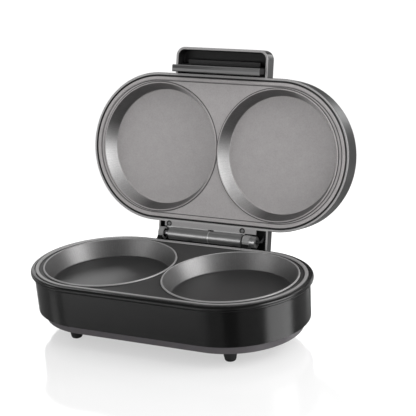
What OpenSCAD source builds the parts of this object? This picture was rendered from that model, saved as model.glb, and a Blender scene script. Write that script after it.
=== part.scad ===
// Electric omelette maker with a hinged lid, shown open.
// Frame: X is the width, -Y the front, +Z up. The worktop is at Z = 0.
// The lid is drawn closed over the base and is then turned open about the hinge pin.

/* [Body] */
// Overall width across the base rim
body_w = 280; // [260:1:320]
// Overall depth across the base rim
body_d = 148; // [146:1:156]
// Height of the lower pocket lips above the worktop
lip_h = 63.5; // [60:0.5:75]
// Thickness of the moulded walls
wall_t = 2.2; // [1.8:0.1:3]
// How far the rim stands out past the gloss wall
rim_over = 3.1; // [2:0.1:4]
// Thickness of the rim
rim_t = 5; // [4:0.1:7]
// Drop from the pocket lips to the top of the rim
rim_drop = 1.2; // [0.4:0.1:2]
// How far the gloss wall draws in from top to bottom
wall_draw = 1.1; // [0:0.1:3]
// Height at which the gloss wall ends and the bottom cover shows
skirt_h = 23; // [20:0.5:26]
// Height of the bottom cover's underside above the worktop
foot_h = 13.5; // [10:0.5:15]

/* [Pockets] */
// How far each pocket's centre lies inside the centre of the rounded end
end_shift = 2; // [1:0.1:6]
// How far the plates stay inside the rim's outside
plate_inset = 4.6; // [4:0.1:6]
// Land between the mouths of the lower pockets where they are closest
low_land_w = 4.2; // [4:0.1:12]
// Land between the mouths of the upper pockets where they are closest
up_land_w = 3.2; // [3:0.1:12]
// How much narrower the pocket floor is than its mouth, on the radius
pocket_draft = 5.7; // [3:0.1:8]
// Depth of the lower pockets
low_depth = 16.4; // [12:0.1:18]
// Depth of the upper pockets
up_depth = 14; // [10:0.1:16]
// Thickness of the cast plates
plate_t = 2.2; // [1.8:0.1:3]
// Drop from the pocket lips to the flat land between them
land_drop = 1.4; // [1:0.1:2]
// Width of the raised border band of a plate
border_w = 3.4; // [2.5:0.1:4.5]
// Gap between a plate and the rim round it
plate_gap = 1; // [0.3:0.1:1.2]

/* [Lid] */
// Thickness of the lid above the cooking plane
lid_h = 29; // [28:0.5:36]
// How far the lid's rim stays inside the base's rim
lid_inset = 1; // [0.5:0.1:1.5]
// Radius of the lid's rounded top edge
lid_round = 11; // [6:0.5:12]
// Gap between the upper and lower pocket lips when closed
close_gap = 1.5; // [1:0.1:3]
// Angle between the closed lid and the open lid
open_angle = 105; // [100:1:110]
// Thickness of the panel on the lid
panel_t = 1; // [0.8:0.1:1.5]

/* [Hinge] */
// Distance from the back of the base rim to the hinge pin
hinge_back = 10.6; // [10:0.1:13]
// Height of the hinge pin above the lower pocket lips
hinge_up = 1; // [0.5:0.1:2]
// Radius of the hinge pin
pin_r = 2.5; // [2:0.1:3]
// Outer radius of the sleeves round the pin
sleeve_r = 6; // [5.5:0.1:6.5]
// Length of the bare pin at the left end
bare_pin = 6; // [3:0.1:8]
// Shift of the seam between the sleeves from the middle of the barrel
seam_shift = 3.3; // [-8:0.1:8]
// Width of the left hinge ear
left_ear_w = 5; // [4:0.1:6]
// Width of the right hinge ear
right_ear_w = 7; // [6.5:0.1:9]
// Width of the hinge bush
bush_w = 6; // [4:0.1:7]
// Width of the hood over the hinge
hood_w = 120; // [118:1:126]
// Distance from the hood's left end to the left ear
ear_in = 3.45; // [3:0.05:6]
// Distance from the hood's right end to the bush
bush_in = 10.85; // [10:0.05:14]
// Reach of the hood behind the lid's wall
hood_reach = 24; // [22:0.5:26]
// Depth of the hood
hood_depth = 11.5; // [11:0.1:14]
// Wall of the hood
hood_wall = 1.8; // [1.4:0.1:2.4]

/* [Handle and latch] */
// Width of the handle
handle_w = 100; // [90:1:110]
// Reach of the handle in front of the lid's wall
handle_reach = 26; // [25:0.5:32]
// Depth of the handle
handle_depth = 15; // [14:0.5:18]
// Wall of the handle
handle_wall = 2.3; // [2:0.1:3]
// Corner radius of the handle
handle_round = 9; // [6:0.5:11]
// Radius of the latch pin
latch_pin_r = 1.5; // [1.2:0.1:2]
// Thickness of the latch where it crosses the rims
latch_t = 5.5; // [4:0.1:6]
// Inward reach of the latch's hook
hook_reach = 1.5; // [1:0.1:2]

/* [Heating] */
// Radius of the tubular heating elements
element_r = 3.2; // [2.5:0.1:3.3]
// Gap between an element and the edge of its reflector
tray_margin = 6.6; // [5:0.1:12]
// Gap between the reflectors and the posts beside them
tray_gap = 3.2; // [2.5:0.1:5]
// Sheet thickness of the reflectors
sheet_t = 0.6; // [0.5:0.1:0.8]

/* [Fasteners and inlet] */
// Shank radius of the assembly screws
screw_r = 1.5; // [1.2:0.1:1.8]
// Bore radius of the cord gland
gland_bore_r = 3.5; // [3:0.1:4]
// Radius of a foot where it meets the cover
foot_r = 6.9; // [5:0.1:8]

/* [Hidden] */
$fn = 96;

// Clearances
run_gap = 0.05;      // pin in its bore
press_gap = 0.02;    // pin held in its seat
seat_gap = 0.3;      // neighbours that don't touch
side_gap = 0.7;      // each end of the latch
eps = 0.01;          // cuts run past a face by this much

// Stadium outlines are given by the straight half-length and a radius
half = (body_w - body_d) / 2;
rim_r = body_d / 2;
rim_top = lip_h - rim_drop;
rim_low = rim_top - rim_t;
rim_round = 2.2;
wall_r = rim_r - rim_over;

// Cooking plates, measured from the plane of their lips
border_drop = 0.3;
border_back = border_drop + plate_t;
plate_r = rim_r - plate_inset;
land_back = land_drop + plate_t;
lip_w = 1.9;
lip_gap = 0.15;
pocket_pitch = 2 * (half - end_shift);
low_mouth_r = mouth_radius(low_land_w);
up_mouth_r = mouth_radius(up_land_w);
floor_fillet = 1.2;
ledge_w = 3;
ledge_t = 2;
cone_wall = plate_t + 0.1;

// Lower stack, upwards from the worktop
ledge_h = lip_h - border_back;
low_floor_back = lip_h - low_depth - plate_t;
element_gap = 0.1;
post_x = 18;
post_y = rim_r - 21;
post_r = 4;
tray_r = post_y - post_r - tray_gap;
element_bend_r = tray_r - element_r - tray_margin;
element_pin_r = 1.3;
low_element_h = low_floor_back - element_gap - element_r;
low_sheet_top = low_element_h - element_r - 1;
tray_lip = 3.5;

// Posts and screws
pilot_r = screw_r + run_gap;
clear_r = screw_r + 0.3;
head_r = 3;
head_h = 2;
thread_l = 8.5;
lug_t = 3;
lug_w = 12;
lug_top = low_sheet_top + 5;
boss_ring_r = rim_r - 20;
boss_r = 4.5;
foot_x = half + 15.5;
foot_y = rim_r - 32;
back_foot_x = half + 8;
back_foot_y = rim_r - 21;

// Bottom cover
cover_t = 1.8;
floor_h = foot_h + cover_t;
cover_r = wall_r - wall_draw - wall_t - seat_gap;
cover_top = skirt_h + 3.5;
cover_seat = (foot_h + cover_top) / 2;
cover_low_r = cover_r - 3.7;
vent_w = 3;
vent_l = 26;
vent_step = 7;
stem_r = 2.5;
post_gap_h = 2;

// Hinge
hinge_y = rim_r + hinge_back;
hinge_z = lip_h + hinge_up;
lid_z = lip_h + close_gap;
lid_rim_z = lid_z + 0.4;
lid_r = rim_r - lid_inset;
sleeve_gap = 0.3;
ear_gap = 1.8;
window_in = 5;
left_ear_x = ear_in - hood_w / 2;
bush_x = hood_w / 2 - bush_in - bush_w;
right_ear_x = bush_x - right_ear_w;
barrel_x0 = left_ear_x + left_ear_w + bare_pin;
barrel_x1 = right_ear_x - ear_gap;
seam_x = (barrel_x0 + barrel_x1) / 2 + seam_shift;
ear_r = sleeve_r;
groove_w = right_ear_w / 2;
lead_start = [wall_r - 8, hinge_z - 17];
lead_rise = [hinge_y, hinge_z] - lead_start;
strip_w = 4.5;
strip_x0 = left_ear_x + 3.5;
strip_x1 = bush_x + bush_w - 1.5;
hinge_screw_y = lid_r + 2.1;
hinge_screw_x = [barrel_x0 - 2.8, barrel_x1 - 1.8];
hinge_screw_r = 1.3;
tab_t = 3.4;
tab_z = lid_rim_z + hood_wall + 0.02;
hood_y = lid_r + hood_reach;
stop_x = 25;
stop_w = 5;

// Lid, measured in the closed position
lid_top = lid_z + lid_h;
panel_seat = lid_top - panel_t - 0.2;
lid_roof = panel_seat - wall_t;
panel_r = lid_r - lid_round - 1.5;
up_floor_back = lid_z + up_depth + plate_t;
up_element_z = up_floor_back + element_gap + element_r;
up_sheet_low = up_element_z + element_r + 0.4;
up_boss_top = lid_z + 16;
up_ledge_z = lid_z + border_back;
up_screw_seat = lid_roof - 1;
lens_x = 6.5;
lens_y = -(post_y - 2);
lens_r = 3.2;
lens_low = lid_roof - 0.5;
lamp_l = 10.3;
window_x = hood_w / 2 - window_in;
window_z = lid_z + 7.5;

// Handle and latch, measured in the closed position
handle_y = -(lid_r + handle_reach);
latch_out = 6;
latch_up = 8;
lever_l = 8;
latch_y = -(lid_r + latch_out);
latch_z = lid_z + latch_up;
latch_half = handle_w / 2 - handle_wall - side_gap;
latch_boss_r = 4;
latch_in_y = -(rim_r + 2);
hook_t = 2.5;
hook_top = rim_low - 1.9;
lever_y = latch_y - lever_l;
lever_t = 3.2;

// Thermostat, terminal block and wiring
thermo_y = -element_bend_r - 2;
thermo_r = 7.5;
thermo_ear = 10.5;
thermo_top = lip_h - land_back - press_gap;
thermo_screw_r = 1;
tab_x = 3;
tab_l = 14;
tab_w = 6;
block_x = -4;
block_y = 20;
block_l = 26;
block_w = 14;
block_h = 9;
block_step = 8;
block_low = floor_h + post_gap_h + press_gap;
block_wire_h = block_low + 3.4;
wire_r = 1.1;
lead_r = 1.2;
wire_gap = 0.1;
tail_x = 13;
fuse_r = 2.5;
fuse_l = 16;
fuse_lead_l = 4;
fuse_y = element_bend_r + 5;
fuse_z = lid_z + land_back + fuse_r + element_gap;

// Gland
gland_x = -30;
gland_h = (skirt_h + rim_low) / 2 - 7;
gland_flange_r = gland_bore_r + 4.5;
gland_flange_t = 2.5;
gland_body_r = gland_bore_r + 2.2;
gland_l = 14;
back_x = (left_ear_x + left_ear_w + gland_x - gland_flange_r) / 2;

// Outline of the open lid, for the origin under the middle of the open machine
function opened(y, z) =
  let (dy = y - hinge_y, dz = z - hinge_z)
  [hinge_y + dy * cos(open_angle) + dz * sin(open_angle),
   hinge_z - dy * sin(open_angle) + dz * cos(open_angle)];
round_back = opened(-(lid_r - lid_round), lid_top - lid_round)[0] + lid_round;
handle_back = opened(handle_y + 3, lid_rim_z + handle_depth)[0];
origin_y = (max(round_back, handle_back) - rim_r) / 2;

// Largest pocket mouth that leaves a land of this width between the pockets and a groove inside the border
function mouth_radius(land_w) = min(pocket_pitch / 2, plate_r - border_w - lip_w) - land_w / 2;

// Radius of the gloss wall's outside at a height
function wall_r_at(z) = wall_r - wall_draw * (rim_low - z) / (rim_low - skirt_h);

// Points of an arc in a profile
function arc(x, z, r, from, to, n = 4) =
  [for (i = [0:n]) let (a = from + (to - from) * i / n) [x + r * cos(a), z + r * sin(a)]];

// Puts the origin on the worktop under the middle of the open machine
module place() {
  translate([0, -origin_y, 0]) children();
}

// Turns what is drawn closed into the open position
module open_lid() {
  place()
    translate([0, hinge_y, hinge_z])
      rotate([-open_angle, 0, 0])
        translate([0, -hinge_y, -hinge_z])
          children();
}

// Sweeps a profile, drawn as distance and height, round a stadium
module racetrack(straight) {
  for (side = [-1, 1]) {
    translate([side * straight, 0, 0])
      rotate([0, 0, -90 * side])
        rotate_extrude(angle = 180) children();
    rotate([0, 0, 90 + 90 * side])
      rotate([90, 0, 90])
        linear_extrude(2 * straight, center = true) children();
  }
}

// Slab from y = 0 to y = reach, with two round corners and a profiled edge at its far side
module round_slab(width, reach, corner, low, high) {
  mid = width / 2 - corner;
  translate([-mid, 0, low]) cube([2 * mid, reach - corner, high - low]);
  for (side = [-1, 1]) {
    translate([side * mid, reach - corner, 0])
      rotate([0, 0, side > 0 ? 0 : 90])
        rotate_extrude(angle = 90) children();
    translate([side * mid, 0, 0])
      mirror([side > 0 ? 0 : 1, 0, 0])
        translate([0, reach - corner, 0])
          rotate([90, 0, 0])
            linear_extrude(reach - corner) children();
  }
  translate([0, reach - corner, 0])
    rotate([90, 0, 90])
      linear_extrude(2 * mid, center = true) children();
}

// Bar along X between two places, drawn as a polygon of [y, z] points
module bar_x(x0, x1, points) {
  translate([x0, 0, 0])
    rotate([90, 0, 90])
      linear_extrude(x1 - x0) polygon(points);
}

module rod_x(x0, x1, y, z, r) {
  translate([x0, y, z])
    rotate([0, 90, 0])
      cylinder(h = x1 - x0, r = r);
}

module rod_y(x, y0, y1, z, r) {
  translate([x, y0, z])
    rotate([-90, 0, 0])
      cylinder(h = y1 - y0, r = r);
}

// The four places where a plate is screwed to its housing
module at_posts() {
  for (sx = [-1, 1], sy = [-1, 1])
    translate([sx * post_x, sy * post_y, 0]) children();
}

// The four places where the bottom cover is screwed on
module at_bosses() {
  for (sx = [-1, 1], sy = [-1, 1])
    translate([sx * half, 0, 0])
      rotate([0, 0, sy * (90 - 45 * sx)])
        translate([boss_ring_r, 0, 0]) children();
}

// Screw with its head's outer face at z = 0, pointing up
module screw(shank_l) {
  difference() {
    union() {
      cylinder(h = 0.6, r1 = head_r - 0.6, r2 = head_r);
      translate([0, 0, 0.6]) cylinder(h = head_h - 0.6, r = head_r);
      translate([0, 0, head_h - eps]) cylinder(h = shank_l, r = screw_r);
    }
    cross_recess(head_r);
  }
}

module cross_recess(r) {
  slot_l = 1.2 * r;
  slot_w = 0.28 * r;
  slot_d = 0.35 * r;
  for (a = [0, 90])
    rotate([0, 0, a])
      translate([-slot_l / 2, -slot_w / 2, -1])
        cube([slot_l, slot_w, 1 + slot_d]);
}

// Round wire through a list of points, eight-sided
module wire(points, r) {
  sides = 8;
  last = len(points) - 1;
  lean = [0.31, 0.17, 0.94]; // a direction that no wire runs along
  run = [for (i = [0:last])
    let (from = points[max(i - 1, 0)], to = points[min(i + 1, last)])
    (to - from) / norm(to - from)];
  rings = [for (i = [0:last])
    let (u = cross(run[i], lean) / norm(cross(run[i], lean)), v = cross(u, run[i]))
    for (k = [0:sides - 1]) points[i] + r * (cos(360 * k / sides) * u + sin(360 * k / sides) * v)];
  walls = [for (i = [0:last - 1], k = [0:sides - 1])
    let (a = i * sides + k, b = i * sides + (k + 1) % sides)
    each [[a, b + sides, a + sides], [a, b, b + sides]]];
  start = [for (k = [1:sides - 2]) [0, k + 1, k]];
  finish = [for (k = [1:sides - 2]) let (first = last * sides) [first, first + k, first + k + 1]];
  polyhedron(rings, concat(walls, start, finish));
}

// Base

// The shell is one moulding, drawn as two solids: its rear wall round the gland, and the rest
module base_shell() {
  place() color([0.06, 0.06, 0.065]) difference() {
    shell_moulding();
    rear_wall_box();
  }
}

module base_shell_back() {
  place() color([0.06, 0.06, 0.065]) intersection() {
    shell_moulding();
    rear_wall_box();
  }
}

module rear_wall_box() {
  translate([back_x, 0, 0]) cube([-back_x, hinge_y, hinge_z]);
}

module shell_moulding() {
  difference() {
    union() {
      racetrack(half) polygon(concat(
        [[wall_r - wall_draw, skirt_h], [wall_r, rim_low]],
        arc(rim_r - rim_round, rim_low + rim_round, rim_round, -90, 0),
        arc(rim_r - rim_round, rim_top - rim_round, rim_round, 0, 90),
        [[plate_r + plate_gap, rim_top], [plate_r + plate_gap, ledge_h],
         [plate_r - ledge_w, ledge_h], [plate_r - ledge_w, ledge_h - ledge_t],
         [wall_r - wall_t, ledge_h - ledge_t - 1.2], [wall_r - wall_draw - wall_t, skirt_h]]));
      plate_lugs();
      cover_bosses();
      hinge_ear(left_ear_x, left_ear_x + left_ear_w);
      hinge_ear(right_ear_x, bush_x);
      for (side = [-1, 1]) lid_stop(side * stop_x);
    }
    at_posts() translate([0, 0, lug_top - lug_t - 1]) cylinder(h = lug_t + 2, r = clear_r);
    at_bosses() translate([0, 0, cover_top - 1]) cylinder(h = 13, r = pilot_r);
    rod_x(left_ear_x - 1, bush_x - groove_w - 0.5, hinge_y, hinge_z, pin_r + press_gap);
    lead_groove();
    rod_y(gland_x, wall_r - 12, rim_r + 2, gland_h, gland_body_r + run_gap);
  }
}

// Lugs inside the shell that the plate's posts are screwed to
module plate_lugs() {
  for (sx = [-1, 1], sy = [-1, 1])
    translate([sx * post_x - lug_w / 2, sy > 0 ? post_y - 5.5 : -(wall_r - 1.4), lug_top - lug_t])
      cube([lug_w, wall_r - 1.4 - post_y + 5.5, lug_t]);
}

// Bosses for the cover screws, each with a rib to the wall
module cover_bosses() {
  boss_h = 15;
  at_bosses() translate([0, 0, cover_top]) {
    cylinder(h = boss_h, r = boss_r);
    translate([0, -1, 0]) cube([wall_r - wall_draw - 0.6 - boss_ring_r, 2, boss_h]);
  }
}

// Ear that holds the hinge pin, on a leg from under the rim
module hinge_ear(x0, x1) {
  rod_x(x0, x1, hinge_y, hinge_z, ear_r);
  bar_x(x0, x1, [
    [wall_r - 1, rim_low - 11], [hinge_y - 0.3, hinge_z - ear_r + 0.1], [hinge_y, hinge_z],
    [hinge_y - ear_r + 0.3, hinge_z], [rim_r + 2, rim_top - 0.8], [rim_r - 3.4, rim_top - 0.8],
    [rim_r - 3.4, rim_low + 0.8], [wall_r - 1, rim_low - 1]]);
}

// Rib that the open lid's hood leans on
module lid_stop(x) {
  foot = opened(hood_y, lid_rim_z - seat_gap);
  head = opened(hood_y - 4, lid_rim_z - seat_gap);
  bar_x(x - stop_w / 2, x + stop_w / 2, [
    [wall_r - 1.4, foot[1] - 5], foot, head, [wall_r - 1.2, head[1] - 1]]);
}

// Groove in the right ear for the lead into the lid
module lead_groove() {
  groove_h = 4.4;
  translate([bush_x - groove_w, lead_start[0], lead_start[1]])
    rotate([atan2(lead_rise[1], lead_rise[0]), 0, 0])
      translate([0, 0, -groove_h / 2])
        cube([groove_w + 1, norm(lead_rise), groove_h]);
  rod_x(bush_x - groove_w, bush_x + 1, hinge_y, hinge_z, groove_h / 2);
}

module bottom_cover() {
  place() color([0.23, 0.22, 0.23]) difference() {
    union() {
      racetrack(half) polygon(concat(
        [[0, foot_h]],
        arc(cover_low_r - 2, foot_h + 2, 2, -90, -15),
        [[cover_r, skirt_h], [cover_r, cover_top], [cover_r - cover_t, cover_top],
         [cover_r - cover_t, skirt_h], [cover_low_r - cover_t - 1, floor_h], [0, floor_h]]));
      at_bosses() translate([0, 0, foot_h]) cylinder(h = cover_top - foot_h, r = boss_r);
      terminal_posts();
    }
    at_bosses() {
      translate([0, 0, foot_h - 1]) cylinder(h = 1 + cover_seat - foot_h, r = head_r + 0.5);
      translate([0, 0, foot_h]) cylinder(h = cover_top, r = clear_r);
    }
    at_feet() translate([0, 0, foot_h - 1]) cylinder(h = cover_t + 2, r = stem_r + 0.2);
    for (side = [-1, 1], i = [-2:2])
      translate([side * 30 + i * vent_step - vent_w / 2, -vent_l / 2 - 18, foot_h - 1])
        cube([vent_w, vent_l, cover_t + 2]);
  }
}

// The rear feet stand further back, under the weight of the open lid
module at_feet() {
  for (side = [-1, 1]) {
    translate([side * foot_x, -foot_y, 0]) children();
    translate([side * back_foot_x, back_foot_y, 0]) children();
  }
}

module feet() {
  tip_r = foot_r - 1.6;
  tip_round = 2.2;
  place() color([0.05, 0.05, 0.05]) at_feet() rotate_extrude() polygon(concat(
    [[0, 0]],
    arc(tip_r - tip_round, tip_round, tip_round, -90, -10),
    [[foot_r, foot_h - 3], [foot_r, foot_h - 0.02], [stem_r, foot_h - 0.02],
     [stem_r, floor_h + 0.1], [stem_r + 1, floor_h + 0.1],
     [stem_r - 0.8, floor_h + 3], [0, floor_h + 3]]));
}

module cover_screws() {
  place() color([0.7, 0.7, 0.7])
    at_bosses() translate([0, 0, cover_seat - head_h]) screw(cover_top - cover_seat + thread_l);
}

// Cooking plate, faces up with its lips at z = 0
module cooking_plate(mouth_r, depth, post_l, stud_l) {
  floor_r = mouth_r - pocket_draft;
  lip_r = min(mouth_r + lip_w, pocket_pitch / 2 - lip_gap);
  difference() {
    union() {
      racetrack(half) polygon(concat(
        [[0, -land_back], [plate_r - ledge_w - 1.2, -land_back], [plate_r - ledge_w - 0.2, -border_back],
         [plate_r, -border_back]],
        arc(plate_r - 0.8, -border_drop - 0.8, 0.8, 0, 90, 3),
        [[plate_r - border_w + 0.5, -border_drop], [plate_r - border_w, -border_drop - 0.4],
         [plate_r - border_w - 0.3, -land_drop], [0, -land_drop]]));
      for (side = [-1, 1]) translate([side * pocket_pitch / 2, 0, 0]) {
        rotate_extrude() polygon([
          [0, -depth - plate_t], [floor_r - 0.2, -depth - plate_t], [floor_r + cone_wall, -depth - 0.8],
          [lip_r, -land_back + 0.3], [lip_r, -land_drop], [lip_r - 0.3, -0.3], [lip_r - 0.7, 0], [0, 0]]);
        translate([0, 0, -depth - plate_t - stud_l]) cylinder(h = stud_l + 0.5, r = post_r);
      }
      at_posts() translate([0, 0, -post_l]) cylinder(h = post_l - land_drop - 0.5, r = post_r);
    }
    for (side = [-1, 1]) translate([side * pocket_pitch / 2, 0, 0]) {
      rotate_extrude() polygon(concat(
        [[0, 1], [mouth_r + 0.5, 1], [mouth_r + 0.5, 0], [mouth_r, -0.5]],
        arc(floor_r - 0.87 * floor_fillet, -depth + floor_fillet, floor_fillet, -18, -90, 4),
        [[0, -depth]]));
      translate([0, 0, -depth - plate_t - stud_l - 1]) cylinder(h = stud_l + 1, r = pilot_r);
    }
    at_posts() translate([0, 0, -post_l - 1]) cylinder(h = 12, r = pilot_r);
  }
}

module lower_plate() {
  place() color([0.2, 0.2, 0.21]) difference() {
    translate([0, 0, lip_h])
      cooking_plate(low_mouth_r, low_depth, lip_h - lug_top, low_floor_back - low_sheet_top);
    thermostat_pilots();
  }
}

module lower_plate_screws() {
  place() color([0.7, 0.7, 0.7])
    at_posts() translate([0, 0, lug_top - lug_t - head_h]) screw(lug_t + thread_l);
}

// Heating element, a tube bent into an open racetrack with its two ends at the back
module heating_element(z) {
  straight = pocket_pitch / 2;
  tube_end = tail_x + 12;
  seal_end = tail_x + 9;
  for (side = [0, 1]) mirror([side, 0, 0]) translate([0, 0, z]) {
    translate([straight, 0, 0])
      rotate([0, 0, -90])
        rotate_extrude(angle = 180) translate([element_bend_r, 0]) circle(element_r);
    rod_x(tube_end, straight, element_bend_r, 0, element_r);
    rod_x(seal_end, tube_end, element_bend_r, 0, element_r - 0.6);
    rod_x(tail_x, seal_end, element_bend_r, 0, element_pin_r);
  }
  rod_x(-straight, straight, -element_bend_r, z, element_r);
}

module lower_element() {
  place() color([0.45, 0.43, 0.4]) heating_element(low_element_h);
}

// Shallow sheet tray with its floor at z = 0 and its lip turned up
module reflector_tray() {
  difference() {
    racetrack(pocket_pitch / 2) polygon([
      [0, 0], [tray_r, 0], [tray_r, tray_lip], [tray_r - sheet_t, tray_lip],
      [tray_r - sheet_t, sheet_t], [0, sheet_t]]);
    for (side = [-1, 1])
      translate([side * pocket_pitch / 2, 0, -1]) cylinder(h = 3, r = clear_r);
  }
}

module lower_reflector() {
  place() color([0.75, 0.75, 0.76])
    translate([0, 0, low_sheet_top - sheet_t]) reflector_tray();
}

module lower_reflector_screws() {
  place() color([0.7, 0.7, 0.7])
    for (side = [-1, 1])
      translate([side * pocket_pitch / 2, 0, low_sheet_top - sheet_t - head_h])
        screw(sheet_t + low_floor_back - low_sheet_top - 1);
}

// Bimetal thermostat on the underside of the land between the pockets
module thermostat() {
  cap_t = 1;
  body_h = 8;
  strap_w = 6;
  strap_l = 2 * (thermo_ear + 3);
  place() color([0.85, 0.82, 0.75]) translate([0, thermo_y, thermo_top]) difference() {
    union() {
      translate([0, 0, -cap_t]) cylinder(h = cap_t, r = thermo_r);
      translate([0, 0, -body_h]) cylinder(h = body_h - cap_t + eps, r = thermo_r - 0.8);
      translate([-strap_w / 2, -strap_l / 2, -cap_t]) cube([strap_w, strap_l, cap_t]);
      for (side = [-1, 1])
        translate([side * tab_x - 0.4, -tab_w / 2, -tab_l]) cube([0.8, tab_w, tab_l - body_h + 1]);
    }
    for (side = [-1, 1])
      translate([0, side * thermo_ear, -2]) cylinder(h = 3, r = thermo_screw_r + 0.2);
  }
}

module thermostat_pilots() {
  for (side = [-1, 1])
    translate([0, thermo_y + side * thermo_ear, thermo_top - 1])
      cylinder(h = 2.6, r = thermo_screw_r + run_gap);
}

module thermostat_screws() {
  place() color([0.7, 0.7, 0.7])
    for (side = [-1, 1])
      translate([0, thermo_y + side * thermo_ear, thermo_top - 2.4]) {
        cylinder(h = 1.38, r = 2);
        cylinder(h = 3.6, r = thermo_screw_r);
      }
}

// Posts of the cover that carry the terminal block
module terminal_posts() {
  for (side = [-1, 1])
    translate([block_x + side * block_step, block_y, floor_h - 0.5])
      cylinder(h = post_gap_h + 0.5, r = 2.5);
}

module terminal_block() {
  place() color([0.93, 0.93, 0.9]) difference() {
    translate([block_x - block_l / 2, block_y - block_w / 2, block_low])
      cube([block_l, block_w, block_h]);
    for (i = [-1:1]) translate([block_x + i * block_step, block_y, 0]) {
      rod_y(0, -block_w / 2 - 1, block_w / 2 + 1, block_wire_h, lead_r + wire_gap);
      translate([0, 0, block_wire_h + 0.6]) cylinder(h = block_h, r = 2);
    }
  }
}

// Leads that pass the reflector's edge between the posts, to the thermostat and the element
module base_wires() {
  edge_y = tray_r + 4.4;
  under = low_sheet_top - 7;
  over_lip = low_sheet_top - sheet_t + tray_lip + wire_r + 1.4;
  tab_y = thermo_y - tab_w / 2 - wire_gap;
  tab_h = thermo_top - tab_l + 3;
  side_x = block_x + block_l / 2 + 5;
  in_y = block_y - 6;
  out_y = block_y + 6;
  function to_tail(side) = [
    [side * 9, edge_y, over_lip], [side * 9, edge_y - 4, over_lip + 1],
    [side * 9.3, element_bend_r + 4.5, low_element_h + 1.2],
    [side * 10.2, element_bend_r + 1, low_element_h + 0.3],
    [side * (tail_x - 1.6), element_bend_r, low_element_h],
    [side * (tail_x - wire_gap), element_bend_r, low_element_h]];
  place() color([0.8, 0.78, 0.7]) {
    wire([[block_x - block_step, in_y, block_wire_h], [block_x - block_step, in_y - 8, block_wire_h],
          [-6, 6 - edge_y, under - 7], [-5, -edge_y, under], [-5, -edge_y, over_lip],
          [-4, tab_y - 5, tab_h - 1], [-tab_x, tab_y - 2, tab_h], [-tab_x, tab_y, tab_h]], wire_r);
    wire(concat(
      [[tab_x, tab_y, tab_h], [tab_x, tab_y - 2, tab_h], [4, tab_y - 5, tab_h - 1],
       [5, -edge_y, over_lip], [5, -edge_y, under + 2], [side_x - 2, 12 - edge_y, under],
       [side_x, 0, under], [side_x - 2, edge_y - 14, under], [9, edge_y, under + 3]],
      to_tail(1)), wire_r);
    wire(concat(
      [[block_x + block_step, out_y, block_wire_h], [block_x + block_step, out_y + 7, block_wire_h],
       [-2, edge_y - 6, under - 5], [-8, edge_y, under + 2]],
      to_tail(-1)), wire_r);
  }
}

module cord_gland() {
  seat_y = wall_r_at(gland_h + gland_flange_r) + 0.05;
  place() color([0.05, 0.05, 0.05]) difference() {
    union() {
      rod_y(gland_x, seat_y, seat_y + gland_flange_t, gland_h, gland_flange_r);
      rod_y(gland_x, seat_y + gland_flange_t - gland_l, seat_y + 1, gland_h, gland_body_r);
    }
    rod_y(gland_x, wall_r - 20, rim_r + 10, gland_h, gland_bore_r);
  }
}

module hinge_pin() {
  place() color([0.72, 0.72, 0.73])
    rod_x(left_ear_x, bush_x - groove_w - 0.6, hinge_y, hinge_z, pin_r);
}

module hinge_bush() {
  place() color([0.35, 0.35, 0.36]) difference() {
    rod_x(bush_x + press_gap, bush_x + bush_w, hinge_y, hinge_z, ear_r - 0.4);
    rod_x(bush_x - 1, bush_x + bush_w + 1, hinge_y, hinge_z, lead_r + 1.4);
  }
}

// Lead from the terminal block up the groove of the right ear
module hinge_lead() {
  x = bush_x - groove_w / 2;
  from_x = block_x + block_step;
  function in_groove(t) = [x, lead_start[0] + t * lead_rise[0], lead_start[1] + t * lead_rise[1]];
  place() color([0.1, 0.1, 0.1])
    wire([[from_x, block_y - 6, block_wire_h], [from_x, block_y - 10, block_wire_h],
          [from_x + 5, block_y - 15, block_wire_h + 0.5], [from_x + 16, block_y - 14, block_wire_h + 1],
          [x - 3, block_y + 4, block_wire_h + 2], [x, lead_start[0] - 10, lead_start[1] - 18.8],
          in_groove(0.05), in_groove(0.4), in_groove(0.9)], lead_r);
}

// Lid

module lid_casing() {
  side_r = lid_r - 0.8;
  in_r = lid_r - wall_t - 0.6;
  open_lid() color([0.34, 0.34, 0.35]) difference() {
    union() {
      difference() {
        racetrack(half) polygon(concat(
          [[0, lid_rim_z], [lid_r - 0.6, lid_rim_z], [lid_r, lid_rim_z + 0.6]],
          arc(side_r - lid_round, lid_top - lid_round, lid_round, 0, 90, 8),
          [[0, lid_top]]));
        racetrack(half) polygon(concat(
          [[0, lid_rim_z - 1], [plate_r + plate_gap, lid_rim_z - 1], [plate_r + plate_gap, up_ledge_z],
           [plate_r - ledge_w, up_ledge_z], [plate_r - ledge_w, up_ledge_z + ledge_t],
           [in_r - 0.6, up_ledge_z + ledge_t + 1.5]],
          arc(in_r - lid_round, lid_roof - lid_round + 1, lid_round - 1, 0, 90, 6),
          [[0, lid_roof]]));
        racetrack(half) polygon([
          [0, panel_seat], [panel_r + 0.3, panel_seat], [panel_r + 0.3, lid_top + 1], [0, lid_top + 1]]);
      }
      at_posts() translate([0, 0, up_boss_top])
        cylinder(h = lid_roof - up_boss_top + 0.5, r = post_r + 0.5);
      handle_shell();
      hood_shell();
      hinge_strip();
    }
    at_posts() {
      translate([0, 0, up_boss_top - 1]) cylinder(h = lid_h, r = clear_r);
      translate([0, 0, up_screw_seat]) cylinder(h = lid_h, r = head_r + 0.5);
    }
    for (side = [-1, 1]) translate([side * lens_x, lens_y, lid_roof - 1]) cylinder(h = 6, r = lens_r + 0.1);
    rod_x(-handle_w / 2 + 0.7, handle_w / 2 - 0.7, latch_y, latch_z, latch_pin_r + press_gap);
    rod_y(window_x, lid_r - 5, lid_r + 1, window_z, 2.4);
    for (x = hinge_screw_x) translate([x, hinge_screw_y, lid_rim_z]) hinge_screw_seat();
  }
}

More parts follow.
